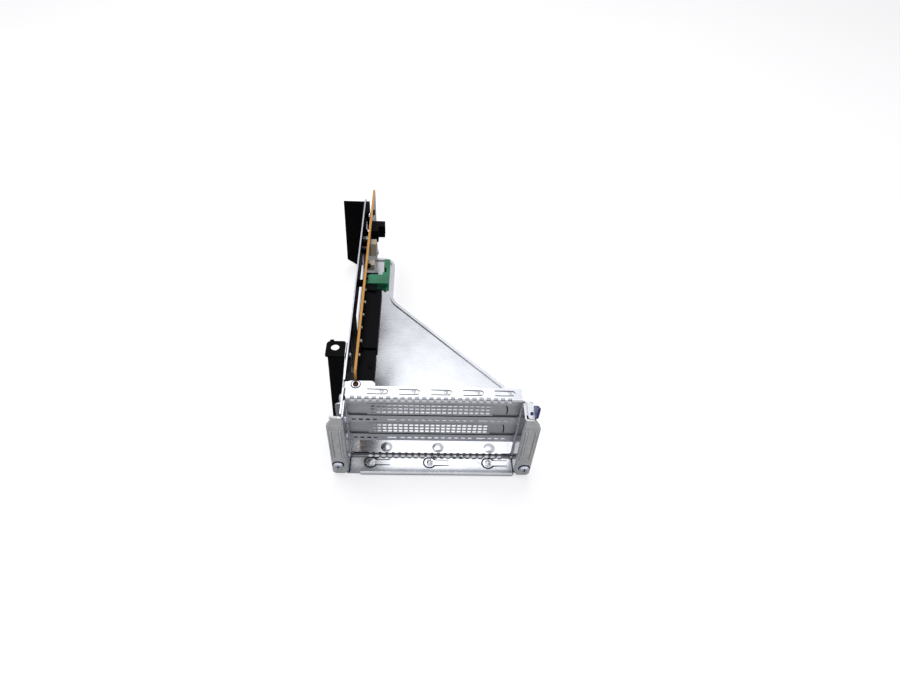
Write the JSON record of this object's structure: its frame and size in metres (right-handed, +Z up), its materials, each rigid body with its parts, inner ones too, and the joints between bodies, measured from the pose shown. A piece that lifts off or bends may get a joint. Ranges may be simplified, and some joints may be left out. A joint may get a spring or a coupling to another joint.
{
  "type": "riser cage bracket",
  "caption": "Folded sheet-metal cage with a vertical riser board, perforated slot wall, mesh slot fillers and a board connector with a pivoting card latch.",
  "frame": {"origin": "middle of the slot wall's outer face line, on the underside of the floor plate", "axes": "+X from the board wall towards the open side, +Y from the slot wall to the rear, +Z up from the floor plate"},
  "size_m": [0.14, 0.2272, 0.0759],
  "materials": {
    "zinc_sheet": "zinc-plated sheet, satin",
    "filler_steel": "plated sheet, satin",
    "strap_steel": "galvanised, matte",
    "screw_steel": "plated, bright",
    "bronze_screw": "dark plated",
    "black_steel": "black, satin",
    "black_plastic": "black, matte",
    "black_film": "black film",
    "blue_plastic": "dark blue, matte",
    "green_plastic": "green, satin",
    "cream_plastic": "cream, satin",
    "connector_plastic": "black, satin",
    "contact_metal": "gold-plated",
    "circuit_board": "solder mask with a pale laminate edge"
  },
  "bodies": {
    "cage": {"cage_shell": "zinc_sheet", "slot_wall": "zinc_sheet", "filler_top": "filler_steel", "filler_middle": "filler_steel", "strap_left": "strap_steel", "strap_right": "strap_steel", "strap_screws": "screw_steel", "strap_nuts": "screw_steel", "tab_clamp": "zinc_sheet", "touch_fin": "blue_plastic", "rivets": "screw_steel", "corner_screw": "bronze_screw", "corner_nut": "screw_steel", "side_screw": "screw_steel", "near_bracket": "black_steel", "far_baffle": "black_plastic", "baffle_screw": "screw_steel", "insulator": "black_film", "riser_board": "circuit_board", "standoffs": "screw_steel", "board_screws": "screw_steel", "slot_connector": "connector_plastic", "slot_contacts": "contact_metal", "latch_pin": "screw_steel", "power_header": "connector_plastic", "power_pins": "contact_metal", "fan_header": "connector_plastic", "fan_pins": "contact_metal", "cable_socket_rear": "cream_plastic", "cable_socket_front": "cream_plastic", "socket_pins": "contact_metal", "board_parts": "black_plastic", "ground_block": "black_plastic", "ground_spring": "screw_steel"},
    "latch": {"card_latch": "green_plastic"}
  },
  "joints": [
    {"name": "latch_pivot", "type": "hinge", "parent": "cage", "child": "latch", "pos_m": [-0.0451, 0.1065, 0.06195], "axis": [0, 0, 1], "range_deg": [0, 12]}
  ]
}
